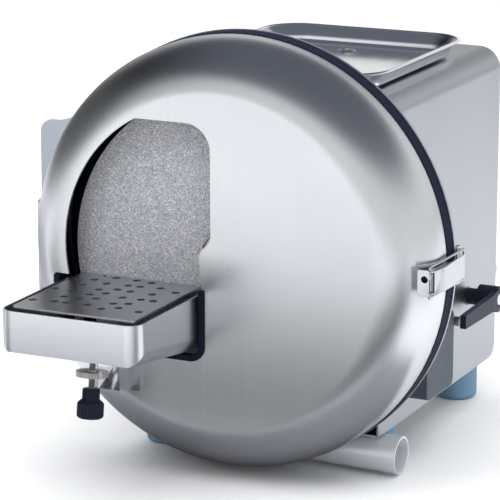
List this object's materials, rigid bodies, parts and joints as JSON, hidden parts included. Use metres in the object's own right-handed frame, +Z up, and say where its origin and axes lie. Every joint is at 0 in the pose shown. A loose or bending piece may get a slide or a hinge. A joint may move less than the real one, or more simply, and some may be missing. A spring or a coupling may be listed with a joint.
{
  "type": "wet model trimmer",
  "caption": "Wet disc trimmer: abrasive disc behind a hinged round splash door with a tilting drip table, drain pipe and water valve on a sheet-steel housing.",
  "frame": {"origin": "middle of the overall box, on the surface the feet stand on", "axes": "+X to the operator's right, +Y into the machine along the disc's shaft, +Z up; the operator stands on the -Y side"},
  "size_m": [0.4226, 0.527, 0.4043],
  "materials": {
    "brushed_steel": "satin, fine grain",
    "door_steel": "satin, vertical grain",
    "polished_steel": "polished",
    "zinc_steel": "machined",
    "black_rubber": "matt",
    "foot_rubber": "matt",
    "grey_plastic": "fine texture",
    "black_plastic": "fine texture",
    "green_plastic": "gloss",
    "motor_cast": "painted casting",
    "motor_core": "laminated",
    "abrasive": "bonded grit",
    "valve_brass": "nickel-plated",
    "capacitor_case": "drawn can"
  },
  "bodies": {
    "housing": {"housing_wrap": "brushed_steel", "base_plate": "brushed_steel", "rear_panel": "brushed_steel", "panel_screws": "polished_steel", "front_plate": "brushed_steel", "door_gasket": "black_rubber", "fixed_hinge_leaf": "brushed_steel", "hinge_pin": "zinc_steel", "latch_keeper": "polished_steel", "top_tray": "brushed_steel", "tray_pads": "black_rubber", "tray_screw": "polished_steel", "motor_stator": "motor_cast", "motor_front_shield": "motor_cast", "motor_rear_shield": "motor_cast", "fan_cover": "black_plastic", "front_bearing": "polished_steel", "rear_bearing": "polished_steel", "shaft_seal": "black_rubber", "motor_studs": "zinc_steel", "terminal_box": "black_plastic", "capacitor": "capacitor_case", "water_valve": "valve_brass", "water_inlet": "valve_brass", "supply_hose": "black_rubber", "spray_hose": "black_rubber", "spray_tube": "brushed_steel", "interlock_box": "grey_plastic", "interlock_screws": "polished_steel", "wall_bolt": "zinc_steel", "drain_sump": "brushed_steel", "drain_pipe": "brushed_steel", "feet": "foot_rubber", "foot_screws": "zinc_steel", "switch_bezel": "black_plastic", "cable_gland": "black_plastic"},
    "spindle": {"motor_shaft": "zinc_steel", "rotor": "motor_core", "cooling_fan": "black_plastic", "disc_carrier": "zinc_steel", "grinding_disc": "abrasive", "hub_nut": "zinc_steel"},
    "water_handle": {"valve_spindle": "zinc_steel", "valve_lever": "black_plastic", "lever_screw": "polished_steel"},
    "rocker": {"switch_rocker": "green_plastic"},
    "door": {"door_shell": "door_steel", "slot_edging": "black_rubber", "door_hinge_leaf": "brushed_steel", "latch_base": "polished_steel", "latch_pin": "polished_steel", "table_bracket": "polished_steel", "table_pivots": "brushed_steel"},
    "latch": {"latch_lever": "polished_steel"},
    "bail": {"latch_bail": "polished_steel"},
    "table": {"drip_trough": "brushed_steel"},
    "plate": {"table_plate": "brushed_steel"},
    "tip": {"thrust_tip": "zinc_steel"},
    "knob": {"adjusting_screw": "black_plastic"},
    "nut": {"lock_nut": "zinc_steel"}
  },
  "joints": [
    {"name": "disc_spin", "type": "hinge", "parent": "housing", "child": "spindle", "pos_m": [0.0047, -0.0715, 0.205], "axis": [0, 1, 0], "continuous": true},
    {"name": "door_swing", "type": "hinge", "parent": "housing", "child": "door", "pos_m": [-0.2028, -0.0835, 0.1875], "axis": [0, 0, -1], "range_deg": [0, 110]},
    {"name": "latch_lift", "type": "hinge", "parent": "door", "child": "latch", "pos_m": [0.2033, -0.1285, 0.205], "axis": [0, 0, -1], "range_deg": [0, 105]},
    {"name": "bail_swing", "type": "hinge", "parent": "latch", "child": "bail", "pos_m": [0.204, -0.13244, 0.205], "axis": [0, 0, -1], "range_deg": [-93, 0]},
    {"name": "table_tilt", "type": "hinge", "parent": "door", "child": "table", "pos_m": [-0.0803, -0.1315, 0.169], "axis": [-1, 0, 0], "range_deg": [-5, 5]},
    {"name": "plate_lift", "type": "slide", "parent": "table", "child": "plate", "axis": [0, -0.342, 0.9397], "range_m": [0, 0.045]},
    {"name": "tip_rise", "type": "slide", "parent": "door", "child": "tip", "axis": [0, 0.1323, 0.9912], "range_m": [-0.0041, 0.0041]},
    {"name": "knob_turn", "type": "hinge", "parent": "tip", "child": "knob", "pos_m": [-0.0978, -0.183, 0.1268], "axis": [0, 0.1323, 0.9912], "range_deg": [-1450, 1450]},
    {"name": "nut_travel", "type": "slide", "parent": "knob", "child": "nut", "axis": [0, 0.1323, 0.9912], "range_m": [-0.009, 0.005]},
    {"name": "water_turn", "type": "hinge", "parent": "housing", "child": "water_handle", "pos_m": [0.1447, 0.1555, 0.118], "axis": [1, 0, 0], "range_deg": [0, 90]},
    {"name": "switch_tip", "type": "hinge", "parent": "housing", "child": "rocker", "pos_m": [-0.1162, -0.0085, 0.275], "axis": [0, 0, 1], "range_deg": [0, 14]}
  ],
  "couplings": [
    {"joint": "bail_swing", "follows": "latch_lift", "ratio": -0.88},
    {"joint": "tip_rise", "follows": "table_tilt", "m_per_rad": 0.0455},
    {"joint": "knob_turn", "follows": "table_tilt", "ratio": 285.88}
  ]
}
